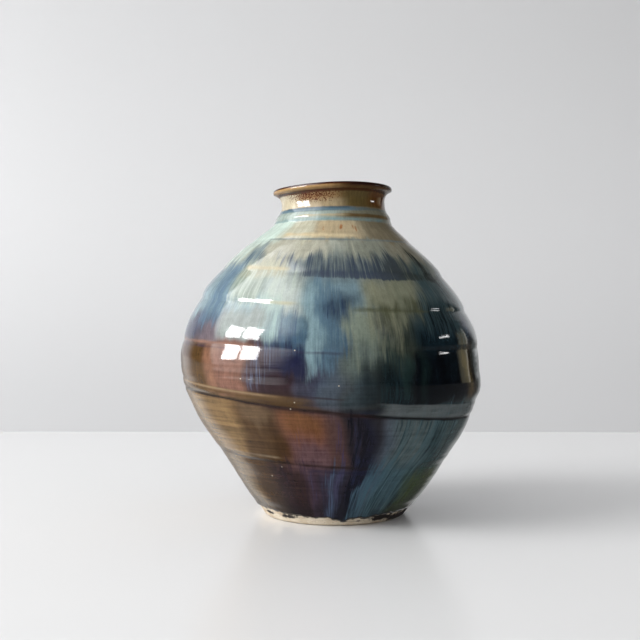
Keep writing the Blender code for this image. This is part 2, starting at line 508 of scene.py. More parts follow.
# The strokes are tables, laid from the first row to the last. Each row has the angles and the heights that
# the stroke lies between, its colour, how much it covers, and the softness of its sides and of its ends, in
# degrees and mm. A last number is its lean.
GROUND = (
    # round the back: rust, plum and blue-black in broad soft columns
    (60, 118, -10, 92, PEWTER, 0.8, 16, 12),
    (112, 150, -10, 150, NAVY, 0.8, 18, 14),
    (148, 190, -10, 150, RUST, 0.9, 18, 14),
    (-175, -140, -10, 150, PLUM, 0.8, 18, 14),
    (-142, -100, -10, 150, TOFFEE, 0.7, 18, 14),
    # below the low ridge
    (-100, -50, -10, 50, (124, 108, 84), 0.5, 14, 6),
    (-46, -26, -10, 46, (56, 40, 28), 0.7, 12, 8),
    (-34, -14, -10, 48, PLUM, 0.9, 12, 8),
    (-15, -8, -10, 50, MAUVE, 1, 6, 16),
    (-9, -2, -10, 47, (47, 42, 58), 0.9, 5, 16),
    (-3, 4, -10, 46, (48, 50, 65), 0.9, 4, 16),
    # between the low ridge and the seam
    (-100, -40, 50, 94, TOFFEE, 0.95, 9, 5),
    (-40, -32, 50, 86, UMBER, 0.9, 5, 6),
    (-28, -20, 50, 82, (62, 42, 22), 0.9, 5, 6),
    (-38, -24, 76, 94, (100, 82, 62), 0.6, 7, 8),
    (-21, -3, 46, 86, (106, 70, 62), 0.95, 9, 16),
    (-20, -4, 42, 62, (90, 70, 76), 0.7, 7, 12),
    (-21, -5, 66, 90, (104, 68, 38), 0.85, 9, 16),
    (-3, 4, 46, 88, MAROON, 0.95, 8, 14),
    (3, 18, -10, 86, NAVY, 0.95, 8, 4, 0.05),
    (3, 12, 56, 90, (40, 35, 40), 0.8, 5, 12),
    (15, 22, 56, 84, (44, 43, 48), 0.8, 5, 10),
    (15, 40, -10, 90, SLATE, 0.85, 7, 6, 0.16),
    (24, 46, 40, 92, (86, 97, 97), 0.9, 7, 14, 0.1),
    (20, 40, -10, 46, LAGOON, 0.85, 8, 16, 0.14),
    (40, 50, 36, 68, TEAL, 0.6, 8, 14),
    (44, 53, -10, 90, TEAL, 0.75, 6, 8, 0.05),
    (52, 100, 36, 90, (66, 84, 86), 0.85, 6, 8),
    (35, 76, -10, 37, (66, 80, 48), 0.9, 10, 18),
    # painted shade: darker all round towards the bottom, where the table and the foot shade the wall
    (-180, 180, -10, 17, (22, 22, 26), 0.5, 1, 14),
    # from the seam to the belly's crease
    (-112, -58, 98, 134, (84, 67, 57), 1, 10, 6),
    (-100, -52, 94, 112, (80, 54, 22), 0.8, 8, 10),
    (-51, -44, 92, 132, (116, 84, 66), 1, 5, 6),
    (-62, -51, 94, 130, (74, 54, 30), 0.8, 6, 8),
    (-45, -30, 92, 134, ROSE, 1, 7, 6),
    (-30, -20, 90, 130, (68, 52, 56), 1, 6, 8),
    (-26, -8, 84, 116, PLUM, 0.8, 7, 10),
    (-21, -8, 106, 130, (31, 33, 56), 1, 9, 12),
    (-21, -10, 96, 108, (44, 30, 36), 0.8, 8, 7),
    (-9, 4, 88, 132, (66, 84, 100), 0.95, 8, 8),
    (-11, -3, 84, 112, (54, 52, 66), 0.8, 5, 12),
    (-3, 4, 84, 112, (72, 79, 88), 0.8, 4, 10),
    (4, 16, 86, 134, (60, 71, 76), 1, 6, 8),
    (15, 30, 84, 134, (20, 32, 38), 1, 8, 8),
    (3, 17, 109, 134, (94, 105, 100), 1, 7, 14),
    (15, 26, 111, 134, (58, 69, 63), 0.9, 8, 14),
    (27, 58, 84, 138, INK, 1, 5, 8),
    (61, 80, 92, 146, (26, 28, 26), 0.85, 6, 16),
    # painted reflection: an ochre streak near the right edge, where a band of light is reflected
    (56, 62, 98, 138, (90, 82, 56), 0.75, 5, 26),
    (9, 22, 88, 117, (20, 28, 30), 0.75, 8, 14),
    (24, 27, 94, 126, (36, 56, 52), 0.55, 3, 18),
    (31, 34, 90, 128, (26, 44, 42), 0.5, 3, 18),
    (40, 44, 98, 120, (2, 3, 6), 0.7, 3, 14),
    (68, 116, 88, 150, (52, 54, 46), 0.9, 12, 10),
    # belly above its crease
    (-180, 180, 132, 156, SLATE, 0.8, 1, 12),
    (-82, -58, 130, 150, (66, 68, 86), 0.8, 10, 8),
    (-58, -44, 128, 142, (104, 94, 100), 0.9, 8, 8),
    (-46, -22, 131, 158, (122, 130, 126), 1, 6, 6),
    (-24, -8, 128, 152, (84, 108, 120), 0.95, 6, 12),
    (-24, -8, 124, 138, (54, 77, 98), 0.6, 7, 12),
    (-9, 3, 128, 150, (96, 117, 126), 1, 4, 10),
    (3, 18, 128, 150, (116, 126, 114), 1, 4, 10),
    (17, 34, 136, 152, (90, 92, 76), 0.9, 8, 12),
    (20, 34, 122, 142, (62, 68, 58), 0.8, 8, 12),
    (32, 60, 132, 152, (48, 64, 66), 0.9, 8, 12),
    (32, 60, 122, 138, (24, 42, 50), 0.8, 8, 12),
    # shoulder between its lower crease and the fringe
    (-180, 180, 150, 178, AQUA, 0.9, 1, 10),
    (-120, -44, 150, 190, (118, 138, 145), 0.95, 8, 12),
    (-56, -44, 152, 184, (104, 124, 134), 0.6, 8, 12),
    (-46, -27, 156, 178, (116, 127, 116), 1, 6, 8),
    (-26, -10, 150, 178, (148, 157, 151), 1, 6, 8),
    (-10, 14, 152, 176, (102, 123, 131), 1, 6, 8),
    (-2, 10, 143, 160, (56, 70, 82), 0.95, 5, 9),
    (14, 40, 150, 176, (121, 123, 104), 1, 8, 8),
    (18, 40, 146, 155, OLIVE, 0.9, 6, 6),
    (38, 66, 148, 180, PEWTER, 0.95, 7, 8),
    (39, 62, 146, 157, (50, 64, 66), 0.9, 6, 7),
    # the fringe under the high crease, and the band above it
    (-180, 180, 182, 200, (150, 154, 142), 1, 1, 8),
    (-45, -18, 172, 188, (142, 141, 120), 1, 6, 6),
    (-20, -9, 172, 188, (124, 132, 134), 1, 6, 8),
    (-12, 34, 171, 190, (100, 109, 108), 1, 6, 14),
    (32, 66, 172, 188, (96, 102, 93), 1, 6, 7),
    (-100, -54, 184, 200, MINT, 0.8, 8, 10),
    (-52, -40, 180, 196, (118, 134, 138), 0.9, 7, 8),
    (-40, -4, 188, 200, (164, 162, 146), 0.9, 8, 7),
    (8, 36, 184, 199, (124, 127, 114), 0.9, 12, 8),
    (34, 64, 186, 199, (126, 123, 107), 1, 10, 8),
    # from the top crease to the neck
    (-180, 180, 200, 216, (160, 152, 128), 1, 1, 4),
    (-130, -38, 197, 216, MINT, 1, 16, 4),
    (-38, -14, 200, 213, (176, 175, 156), 0.9, 12, 3),
    (-14, 22, 200, 213, (170, 154, 124), 0.9, 12, 3),
    (24, 76, 198, 214, (122, 113, 92), 1, 14, 3),
    # the ring at the neck's foot
    (-180, 180, 213.4, 223.2, (140, 152, 144), 1, 1, 1.6),
    (8, 80, 213.4, 223.2, (116, 112, 92), 0.9, 24, 1.6),
    # the neck and the lip
    (-180, 180, 223, 246, OCHRE, 1, 1, 2),
    (-130, -40, 223, 235, (182, 173, 150), 0.9, 20, 2),
    (8, 110, 223, 246, (94, 79, 46), 1, 22, 2),
    (-40, 12, 223, 229, (160, 148, 120), 0.7, 20, 4),
    (40, 120, 224, 234, (92, 52, 20), 0.8, 20, 3),
)


def under_glaze(angle, height):
    """The ground that the runs lie on: brown and rust at the left, nearly black at the right, pale above,
    with painted shade round the bottom and a painted reflection at the right edge.
    """
    return Layer(angle, height, ground=UMBER).paint(GROUND)


BLUE = (
    (-64, -46, 138, 186, (92, 112, 130), 0.5, 8, 14),
    (-24, -9, 122, 158, (48, 72, 98), 0.36, 7, 18),
    (-8, 2, 108, 176, (84, 108, 122), 0.5, 5, 18),
    (-3, 8, 120, 166, (66, 87, 104), 0.42, 5, 14),
    (36, 60, 130, 186, (58, 76, 80), 0.5, 8, 14),
    (14, 27, 86, 128, (30, 48, 52), 0.32, 5, 18),
    (-30, -20, 96, 130, (84, 92, 112), 0.4, 4, 12),
    (-7, 2, 2, 46, (66, 76, 98), 0.36, 4, 22),
    (9, 24, 0, 50, (64, 90, 104), 0.5, 5, 20, 0.14),
    (22, 44, 8, 88, (72, 94, 100), 0.42, 8, 20, 0.12),
    (42, 60, 42, 88, (70, 92, 98), 0.42, 8, 20),
    (-4, -2, 0, 46, (80, 98, 124), 0.44, 2.5, 22),
    (-13, -11, 0, 54, (62, 60, 82), 0.4, 3, 22),
    (9, 11, 0, 40, (80, 104, 122), 0.4, 3, 22, 0.14),
    (-1, 2, 14, 84, (66, 56, 84), 0.42, 4, 22),
    (6, 9, 30, 88, (48, 54, 82), 0.42, 4, 22),
)
BLUE_BEHIND = (
    (78, 22, 20, PEWTER),
    (104, 16, 70, SLATE),
    (128, 22, 8, LAGOON),
    (152, 12, 96, AQUA),
    (178, 22, 64, SLATE),
    (-158, 18, 10, LAGOON),
    (-132, 20, 84, STEEL),
    (-104, 22, 96, PEWTER),
    (-84, 18, 128, STEEL),
)


def blue_runs(angle, height):
    """Steel blue and slate that ran from the shoulder and, in places, down to the foot."""
    return Layer(angle, height).paint(BLUE).paint_runs(BLUE_BEHIND, 190, 0.75, 9, 26)


PALE = (
    (-180, 180, 184, 214, (172, 172, 154), 0.24, 1, 10),
    (-50, -10, 150, 182, (160, 170, 158), 0.4, 8, 12),
    (-29, -19, 126, 158, (134, 156, 152), 0.5, 5, 12),
    (-10, -4, 106, 166, (118, 142, 148), 0.6, 4, 22),
    (3, 17, 112, 156, (122, 131, 116), 0.34, 8, 22),
    (14, 30, 122, 172, (122, 124, 103), 0.36, 8, 20),
    (26, 42, 140, 172, (112, 116, 98), 0.4, 5, 14),
)
PALE_BEHIND = (
    (88, 26, 118, SAGE),
    (116, 16, 140, CELADON),
    (140, 20, 110, LICHEN),
    (166, 18, 132, CELADON),
    (-170, 14, 104, AQUA),
    (-146, 22, 138, SAGE),
    (-120, 18, 116, AQUA),
    (-96, 18, 150, CELADON),
)


def pale_runs(angle, height):
    """The last coat on the shoulder, mint, sage and cream, with drips over the belly."""
    return Layer(angle, height).paint(PALE).paint_runs(PALE_BEHIND, 196, 0.8, 8, 22)


FRINGE = (
    (-13, 40, 167, 187, (58, 68, 80), 0.55, 10, 20),
    (22, 40, 167, 186, (62, 67, 62), 0.4, 10, 18),
    (-30, -8, 180, 190, (66, 76, 90), 0.42, 12, 12),
)
DARK = (
    (-52, -36, 182, 192, (84, 100, 112), 0.5, 8, 10),
    (49, 56, 168, 194, (44, 50, 48), 0.5, 4, 8, -0.4),
    (-2, 8, 147, 158, (44, 57, 76), 0.5, 5, 8),
    (34, 56, 100, 156, (12, 24, 30), 0.45, 6, 16),
    (-24, -9, 106, 130, (28, 30, 54), 0.42, 7, 12),
    (26, 34, 120, 140, (36, 44, 40), 0.4, 5, 12),
    (-30, -12, 4, 52, (44, 32, 40), 0.34, 7, 16),
    (-17, -13, 40, 74, (78, 62, 76), 0.34, 4, 16),
    (4, 13, 6, 84, (12, 14, 26), 0.4, 4, 12),
    (20, 62, 10, 84, (24, 44, 50), 0.28, 8, 20, 0.12),
)


def dark_runs(angle, height):
    """Navy and violet where the glaze pooled under the creases and feathered."""
    coat = Layer(angle, height).paint(FRINGE)
    # the fringe ends at the foot of the high crease, and pooled along it
    coat.cover = coat.cover * smoothstep((height - leaning(HIGH_CREASE_FOOT, angle)) / 2.4 + 0.5)
    coat.band(HIGH_CREASE_FOOT, HIGH_CREASE_HEAD, 26, 88, (56, 63, 60), 0.55, 18, 4.0)
    coat.band(HIGH_CREASE_FOOT, HIGH_CREASE_HEAD, -14, 34, (62, 70, 84), 0.4, 12, 3.0)
    return coat.paint(DARK)


# Strokes along the creases: the crease, the angles that the stroke lies between, its colour, how much it
# covers, its half-width, how far above the crease it lies, and the softness of its sides in degrees. A band
# lies between two lines, and has the softness of its sides and of its ends instead.
LINES = (
    (BELLY_CREASE, -80, -26, (134, 100, 84), 0.6, 1.4, 0.8, 8),
    (BELLY_CREASE, -80, 4, (48, 40, 60), 0.45, 1.2, -2.2, 8),
    (SHOULDER_CREASE, -30, -14, (168, 162, 132), 0.6, 1.6, 1.5, 8),
    # painted shade: a darker olive band along the shoulder crease at the front and the right
    (SHOULDER_CREASE, 8, 40, OLIVE, 0.55, 2.2, 0.0, 8),
    (HIGH_CREASE, -46, -20, (168, 156, 124), 0.6, 1.8, 2.0, 8),
    (TOP_CREASE, -36, 18, (196, 180, 146), 0.7, 1.8, 3.6, 8),
    (TOP_CREASE, -48, 64, (110, 120, 118), 0.7, 0.9, 0.4, 8),
    (SEAM_GROOVE, -180, 180, (30, 22, 20), 0.5, 0.8, -0.6, 8),
    (SEAM_GROOVE, -76, -26, (34, 22, 14), 0.8, 1.2, -0.4, 8),
    (SEAM_GROOVE, -34, 18, (40, 24, 22), 0.6, 1.5, -1.6, 16),
    (SEAM_GROOVE, -80, -20, (70, 48, 26), 0.5, 0.7, 3.4, 14),
    (SEAM_GROOVE, 14, 96, (9, 12, 16), 0.9, 1.5, -0.6, 8),
)
SEAM_BANDS = (
    # painted reflection: a lighter grey band on the seam at the right
    (SEAM_GROOVE, SEAM_TOP, 17, 78, (96, 102, 103), 0.62, 9, 1.8),
    (SEAM_GROOVE, SEAM_TOP, -100, -34, (84, 64, 38), 0.55, 16, 1.8),
    (SEAM_GROOVE, SEAM_TOP, -38, -6, (86, 66, 42), 0.65, 12, 1.8),
)
LINES_OVER_THE_SEAM = (
    (LOW_GROOVE, -16, 18, (30, 32, 54), 0.45, 2.6, -2.6, 8),
    # painted highlight: a thin pale line along the step under the seam's top at the left
    (SEAM_TOP, -90, -22, (140, 118, 92), 0.55, 0.8, -1.0, 14),
    (SEAM_TOP, -36, 6, (46, 32, 32), 0.5, 0.9, 0.8, 14),
    (LOW_RIDGE, -90, -26, (124, 108, 86), 0.65, 1.1, 0.4, 8),
    (LOW_GROOVE, -90, 14, (36, 24, 18), 0.6, 1.3, 0.8, 22),
    (FINE_LINE, -90, 10, (84, 66, 54), 0.3, 0.6, 0.0, 8),
)
NECK_STROKES = (
    (-180, 34, 220.3, 223.3, (88, 110, 122), 0.8, 36, 1.8),
    (-60, 20, 222.2, 223.6, (56, 72, 84), 0.55, 14, 1),
    (26, 180, 221, 223.2, (92, 98, 92), 0.65, 36, 1.8),
    (2, 70, 215.8, 218.4, (98, 80, 52), 0.95, 20, 1.4),
    (-40, 12, 216.4, 218.2, (166, 156, 128), 0.7, 14, 1.4),
    (-180, 60, 213, 215.4, (116, 142, 144), 0.6, 30, 1.8),
    (-180, 180, 233.9, 235.8, (66, 37, 15), 1, 1, 1),
    (-140, 8, 236, 238.7, (164, 130, 86), 0.95, 24, 0.8),
    (6, 220, 236, 238.4, (84, 58, 32), 0.9, 30, 0.8),
    (-180, 180, 238.3, 246, (60, 27, 16), 1, 1, 0.8),
    (12, 200, 237.2, 246, (40, 19, 11), 0.95, 20, 1),
)
ORANGE_FLECKS = ((-8.0, 209.0), (6.5, 210.5), (16.5, 210.0), (19.0, 208.5))


def crests(angle, height):
    """Thin glaze that broke to tan and rust on the ridges, thick glaze that lies dark in the grooves, and
    painted shade, a painted highlight and a painted reflection along the seam and the shoulder crease.
    """
    coat = Layer(angle, height)
    for line in LINES:
        coat.ring(*line)
    for band in SEAM_BANDS:
        coat.band(*band)
    for line in LINES_OVER_THE_SEAM:
        coat.ring(*line)
    coat.paint(NECK_STROKES)
    for place, high in ORANGE_FLECKS:
        coat.patch(place - 0.7, place + 0.7, high - 4.0, high, (146, 88, 46), 0.8, 1.6, 2.0)
    # the glaze's lower edge, thick and nearly black
    edge = height - glaze_edge(angle)
    coat.lay(0.95 * bell(edge, 0.8 + 0.7 * bell(wrapped(angle - 34.0), 30.0)), (20, 15, 14))
    return coat


def put_colour(mesh, name, coat):
    layer = mesh.color_attributes.new(name=name, type="FLOAT_COLOR", domain="POINT")
    values = np.concatenate([coat.colour, coat.cover[:, None]], axis=-1)
    layer.data.foreach_set("color", values.astype(np.float32).ravel())


FLOW_RADIUS = 100.0


def put_flow(mesh, angle, height):
    """Where a point lies on the sheet of running glaze, on one cylinder. The runs lean low on the right."""
    lean = 14.0 * smoothstep((80.0 - height) / 80.0) * bell(wrapped(angle - 30.0), 28.0)
    turn = np.radians(angle + lean)
    flow = np.stack([FLOW_RADIUS * np.sin(turn), -FLOW_RADIUS * np.cos(turn), height], axis=-1) * MM
    layer = mesh.attributes.new(name="flow", type="FLOAT_VECTOR", domain="POINT")
    layer.data.foreach_set("vector", flow.astype(np.float32).ravel())


def put_number(mesh, name, values):
    layer = mesh.attributes.new(name=name, type="FLOAT", domain="POINT")
    layer.data.foreach_set("value", values.astype(np.float32))


# ---- Materials ----


class Nodes:
    """A node tree, with one short call for each kind of node that is used here."""

    def __init__(self, owner, shader="Principled BSDF"):
        owner.use_nodes = True
        self.material = owner
        self.tree = owner.node_tree
        self.shader = self.tree.nodes[shader]

    def put(self, value, socket):
        if isinstance(value, bpy.types.NodeSocket):
            self.tree.links.new(value, socket)
        else:
            socket.default_value = value

    def new(self, kind, inputs, **settings):
        """A new node: its settings are made first, then its inputs are set or linked."""
        node = self.tree.nodes.new(kind)
        for name, value in settings.items():
            setattr(node, name, value)
        for socket, value in inputs.items():
            self.put(value, node.inputs[socket])
        return node

    def math(self, operation, a, b=0.0):
        return self.new("ShaderNodeMath", {0: a, 1: b}, operation=operation).outputs[0]

    def plus(self, total, *others):
        for value in others:
            total = self.math("ADD", total, value)
        return total

    def times(self, total, *others):
        for value in others:
            total = self.math("MULTIPLY", total, value)
        return total

    def minus(self, a, b):
        return self.math("SUBTRACT", a, b)

    def vector(self, operation, a, b):
        node = self.new("ShaderNodeVectorMath", {0: a, 1: b}, operation=operation)
        return node.outputs["Value"] if operation == "DISTANCE" else node.outputs[0]

    def parts(self, vector):
        """The three parts of a vector."""
        return self.new("ShaderNodeSeparateXYZ", {0: vector}).outputs

    def attribute(self, name):
        return self.new("ShaderNodeAttribute", {}, attribute_name=name).outputs

    def position(self):
        return self.new("ShaderNodeTexCoord", {}).outputs["Object"]

    def noise(self, at, scale, detail=2.0, roughness=0.5):
        """Noise between 0 and 1. The scale is (x, y, z) in waves for each metre."""
        place = self.vector("MULTIPLY", at, scale)
        inputs = {"Vector": place, "Scale": 1.0, "Detail": detail, "Roughness": roughness}
        return self.new("ShaderNodeTexNoise", inputs).outputs["Fac"]

    def step(self, value, low, high, to_low=0.0, to_high=1.0):
        inputs = {"Value": value, "From Min": low, "From Max": high, "To Min": to_low, "To Max": to_high}
        return self.new("ShaderNodeMapRange", inputs, interpolation_type="SMOOTHSTEP").outputs["Result"]

    def between(self, value, start, low, high, end):
        """1 between low and high, falling softly to 0 at start and at end."""
        return self.times(self.step(value, start, low), self.step(value, end, high))

    def mix(self, share, first, second):
        return self.new("ShaderNodeMix", {"Factor": share, 6: first, 7: second}, data_type="RGBA").outputs[2]

    def shade(self, colour, amount):
        """A colour made lighter or darker by a factor."""
        grey = self.new("ShaderNodeCombineXYZ", {0: amount, 1: amount, 2: amount}).outputs[0]
        return self.vector("MULTIPLY", colour, grey)

    def surface(self, colour, roughness):
        """The finished material."""
        self.put(colour, self.shader.inputs["Base Color"])
        self.shader.inputs["Roughness"].default_value = roughness
        return self.material

    def bump(self, height, distance, strength):
        node = self.new("ShaderNodeBump", {"Height": height, "Distance": distance, "Strength": strength})
        self.put(node.outputs[0], self.shader.inputs["Normal"])


# Pinholes in the glaze, painted as small pale highlights, as (angle, height).
PINHOLE_HIGHLIGHTS = (
    (-15.5, 86.0), (-13.5, 90.5), (2.0, 101.5), (-27.0, 44.5), (-12.5, 124.0), (-35.0, 37.0), (-33.0, 105.0),
)

# The coats of runs over the ground: how much of their ragged edges is fine threads, how ragged the edges are,
# and where in the noise each coat lies.
RUN_COATS = (
    ("blue_runs", 0.55, 2.2, (0.0, 0.0, 0.31)),
    ("pale_runs", 0.42, 1.7, (0.0, 0.0, 0.77)),
    ("dark_runs", 0.5, 2.6, (0.0, 0.0, 1.23)),
)


def tint(red, green, blue):
    """A screen colour as a colour for a node."""
    return (*srgb(red, green, blue), 1.0)


def laid_over(n, colour, name, push, low, high, fade, tone):
    """A painted coat over a colour. The push breaks up its edge. Where nothing was painted it stays away."""
    layer = n.attribute(name)
    share = n.step(n.plus(layer["Alpha"], push), low, high)
    share = n.times(share, n.step(layer["Alpha"], 0.0, fade))
    return n.mix(share, colour, n.shade(layer["Color"], tone))


def speckled(n, colour):
    """Specks of iron under the lip."""
    speckle = n.attribute("speckle")["Fac"]
    speck = n.noise(n.position(), (1350.0, 1350.0, 1100.0), 1.0)
    share = n.step(n.plus(speck, n.times(speckle, 0.22)), 0.61, 0.70)
    return n.mix(n.times(share, n.step(speckle, 0.0, 0.3)), colour, tint(80, 32, 14))


def with_pinhole_highlights(n, colour, flow):
    for angle, height in PINHOLE_HIGHLIGHTS:
        turn = math.radians(angle)
        place = (FLOW_RADIUS * MM * math.sin(turn), -FLOW_RADIUS * MM * math.cos(turn), height * MM)
        share = n.step(n.vector("DISTANCE", flow, place), 0.00055, 0.0002)
        # each pinhole is a small painted highlight
        colour = n.mix(share, colour, tint(190, 180, 162))
    return colour


def glaze_material():
    n = Nodes(bpy.data.materials.new("running_glaze"))
    flow = n.attribute("flow")["Vector"]
    height = n.parts(flow)[2]
    still = n.attribute("still")["Fac"]
    fine = n.noise(flow, (880.0, 880.0, 46.0), 3.0, 0.65)
    broad = n.noise(flow, (230.0, 230.0, 17.0), 2.0, 0.6)
    mottle = n.noise(flow, (210.0, 210.0, 150.0), 4.0, 0.65)
    rings = n.noise(flow, (11.0, 11.0, 430.0), 3.0, 0.65)
    grain = n.noise(n.position(), (1100.0, 1100.0, 1100.0), 2.0)

    # the ground is mottled, ringed by the fingers low down and threaded where the glaze ran
    ring_share = n.times(n.step(height, 0.130, 0.090, 0.25, 1.0), n.step(still, 0.0, 1.0, 0.9, 1.9))
    ringed = n.times(n.minus(rings, 0.5), ring_share)
    threads = n.plus(n.times(fine, 0.6), n.times(broad, 0.5))
    thread_share = n.times(n.step(height, 0.200, 0.160, 0.3, 0.8), n.step(still, 0.0, 1.0, 1.0, 0.15))
    threaded = n.times(n.minus(threads, 0.55), thread_share)
    tone = n.plus(n.times(mottle, 0.9), n.times(ringed, 1.1), threaded, 0.55)
    colour = n.shade(n.attribute("under_glaze")["Color"], tone)

    calm = n.step(height, 0.206, 0.188, 0.35, 1.0)
    run_tone = n.plus(n.times(n.plus(fine, mottle), 0.45), 0.55)
    for name, thread_part, ragged, shift in RUN_COATS:
        elsewhere = n.vector("ADD", flow, shift)
        thread = n.noise(elsewhere, (760.0, 760.0, 40.0), 3.0, 0.65)
        cloud = n.noise(elsewhere, (210.0, 210.0, 34.0), 3.0, 0.6)
        both = n.plus(n.times(thread, thread_part), n.times(cloud, 1.0 - thread_part))
        push = n.times(n.minus(both, 0.5), calm, ragged)
        colour = laid_over(n, colour, name, push, 0.22, 0.78, 0.12, run_tone)
    push = n.times(n.minus(n.noise(flow, (60.0, 60.0, 300.0), 3.0), 0.5), 0.8)
    crest_tone = n.plus(n.times(n.plus(rings, mottle), 0.55), 0.45)
    colour = laid_over(n, colour, "crests", push, 0.1, 0.9, 0.15, crest_tone)

    colour = n.shade(speckled(n, colour), n.plus(n.times(grain, 0.3), 0.85))
    n.shader.inputs["IOR"].default_value = 1.5
    n.bump(n.plus(n.times(rings, 0.6), n.times(grain, 0.25)), 0.00012, 0.5)
    return n.surface(with_pinhole_highlights(n, colour, flow), 0.05)


def liner_material():
    n = Nodes(bpy.data.materials.new("liner_glaze"))
    at = n.position()
    streak = n.noise(at, (260.0, 260.0, 18.0), 3.0, 0.6)
    patches = n.noise(at, (30.0, 30.0, 14.0), 3.0)
    colour = n.mix(patches, tint(58, 36, 20), tint(112, 76, 40))
    colour = n.shade(colour, n.plus(streak, 0.5))
    # a band of the outer glaze ran inside the neck
    ragged = n.plus(n.parts(at)[2], n.times(n.minus(streak, 0.5), 0.03))
    band = n.between(ragged, 0.196, 0.206, 0.216, 0.226)
    colour = n.mix(n.times(band, 0.7), colour, tint(88, 112, 112))
    n.bump(n.noise(at, (300.0, 300.0, 300.0)), 0.0002, 0.4)
    return n.surface(colour, 0.12)


def clay_material():
    n = Nodes(bpy.data.materials.new("raw_clay"))
    at = n.position()
    patches = n.noise(at, (90.0, 90.0, 140.0), 4.0, 0.6)
    grog = n.noise(at, (1500.0, 1500.0, 1500.0), 2.0, 0.7)
    colour = n.mix(n.step(patches, 0.35, 0.75), tint(218, 206, 186), tint(190, 168, 140))
    colour = n.mix(n.step(grog, 0.60, 0.72), colour, tint(120, 92, 66))
    # smudges of glaze and iron darken the clay, and painted shade darkens it at the right
    smudge_and_shade = n.attribute("smudge_and_shade")["Fac"]
    ragged = n.plus(smudge_and_shade, n.times(n.minus(n.noise(at, (380.0,) * 3, 4.0), 0.5), 1.1))
    share = n.times(n.step(ragged, 0.35, 0.75), n.step(smudge_and_shade, 0.0, 0.2))
    n.bump(n.plus(grog, n.noise(at, (400.0,) * 3, 3.0)), 0.0004, 0.6)
    return n.surface(n.mix(share, colour, tint(38, 28, 23)), 0.85)


# ---- The six pieces ----

# Smudges of glaze and iron on the bare clay, and painted shade on the clay at the right, as (angle,
# half-width, height, half-height, strength).
SMUDGES_AND_SHADE = (
    (-58, 8, 5.4, 1.6, 1),
    (-36, 9, 5, 1.5, 1),
    (14, 9, 3.4, 0.8, 0.6),
    (34, 8, 4.6, 1.8, 0.9),
    # partly brown clay and partly painted shade, where the clay at the right lies in shadow
    (68, 30, 3, 4, 1.1),
    (118, 9, 4.4, 1.6, 0.7),
    (-160, 12, 4.6, 1.4, 0.7),
    (-104, 8, 5, 1.3, 0.6),
)


def put_smudges_and_shade(piece):
    places = np.empty(len(piece.data.vertices) * 3)
    piece.data.vertices.foreach_get("co", places)
    x, y, z = places.reshape(-1, 3).T / MM
    angle = np.degrees(np.arctan2(x, -y))
    smudge_and_shade = 0.9 * bell(z - glaze_edge(angle), 0.9)
    for centre, half_width, height, half_height, strength in SMUDGES_AND_SHADE:
        smudge_and_shade += strength * bell(wrapped(angle - centre), half_width) * bell(z - height, half_height)
    smudge_and_shade = smudge_and_shade * (np.hypot(x, y) > 44.0)
    put_number(piece.data, "smudge_and_shade", np.clip(smudge_and_shade, 0.0, 1.0))


# The back of the coat and the clay under it have one row for every few rows of the coat's face.
COAT_BACK_STEP = 5
CLAY_STEP = 4
# The clay's rows just above the foot start this far above it.
ABOVE_FOOT = 0.01
FLOOR_RADII = (0.0, 20.0, 40.5)
BARE_ROWS = (0.0, 0.25, 0.5, 0.75)  # rows of bare clay above the foot, as shares of its height


def angles(columns):
    return -180.0 + 360.0 * np.arange(columns) / columns


def outer_coat():
    angle = angles(COLUMNS)
    radius, height = outer_face(angle)
    backing = np.unique(np.append(np.arange(0, len(radius), COAT_BACK_STEP), len(radius) - 1))
    back_radius, back_height = sunk(radius, height, GLAZE)
    radius = np.concatenate([radius, back_radius[backing][::-1]])
    height = np.concatenate([height, back_height[backing][::-1]])
    piece = turned("outer_glaze_coat", angle, radius, height)
    # it is painted as if the rim were level
    every_angle = np.tile(angle, len(height))
    every_height = height.ravel() - rim_lift(height.ravel(), every_angle)
    for paint in (under_glaze, blue_runs, pale_runs, dark_runs, crests):
        put_colour(piece.data, paint.__name__, paint(every_angle, every_height))
    put_flow(piece.data, every_angle, every_height)
    speckle = bell(every_height - 233.0, 4.6) * bell(wrapped(every_angle + 24.0), 27.0)
    put_number(piece.data, "speckle", speckle * smoothstep((236.0 - every_height) / 1.5))
    # at the lower left the glaze lies thin and has hardly run
    still = smoothstep((103.0 - every_height) / 12.0) * bell(wrapped(every_angle + 64.0), 44.0)
    put_number(piece.data, "still", still)
    cylinder_map(piece, COLUMNS)
    finish_piece(piece, glaze_material(), "outer_glaze", "outer_glaze")


def liner():
    angle = angles(CLAY_COLUMNS)
    radius, height = inner_face(angle)
    back_radius, back_height = sunk(radius, height, GLAZE)
    back_radius[-1] = 0.0
    radius = np.concatenate([back_radius[::-1], radius])
    height = np.concatenate([back_height[::-1], height])
    piece = turned("inner_glaze_liner", angle, radius, height, closed=False)
    finish_piece(piece, liner_material(), "inner_glaze", "inner_glaze")


def clay_faces(angle):
    """The clay's outer face under the coat, and its inner face under the liner, which runs down."""
    inside_radius, inside_height = sunk(*inner_face(angle), GLAZE + CLEARANCE)
    inside_radius[-1] = 0.0
    return sunk(*outer_face(angle), GLAZE + CLEARANCE), (inside_radius, inside_height)


def clay_radius(height):
    """The clay's outer radius below the glaze's edge."""
    return hermite(*zip(*WALL), height) - GLAZE - CLEARANCE


def between_heights(face, low, high):
    """The rows of a face between two heights."""
    radius, height = face
    keep = (height[:, 0] > low) & (height[:, 0] < high)
    return radius[keep], height[keep]


def clay_piece(node, clay, angle, *stretches, closed=True):
    """A piece whose outline is stretches of rows, each as (radius, height)."""
    radius, height = (np.concatenate(values) for values in zip(*stretches))
    piece = turned(node + "_clay", angle, radius, height, closed)
    put_smudges_and_shade(piece)
    finish_piece(piece, clay, "bare_clay", node)


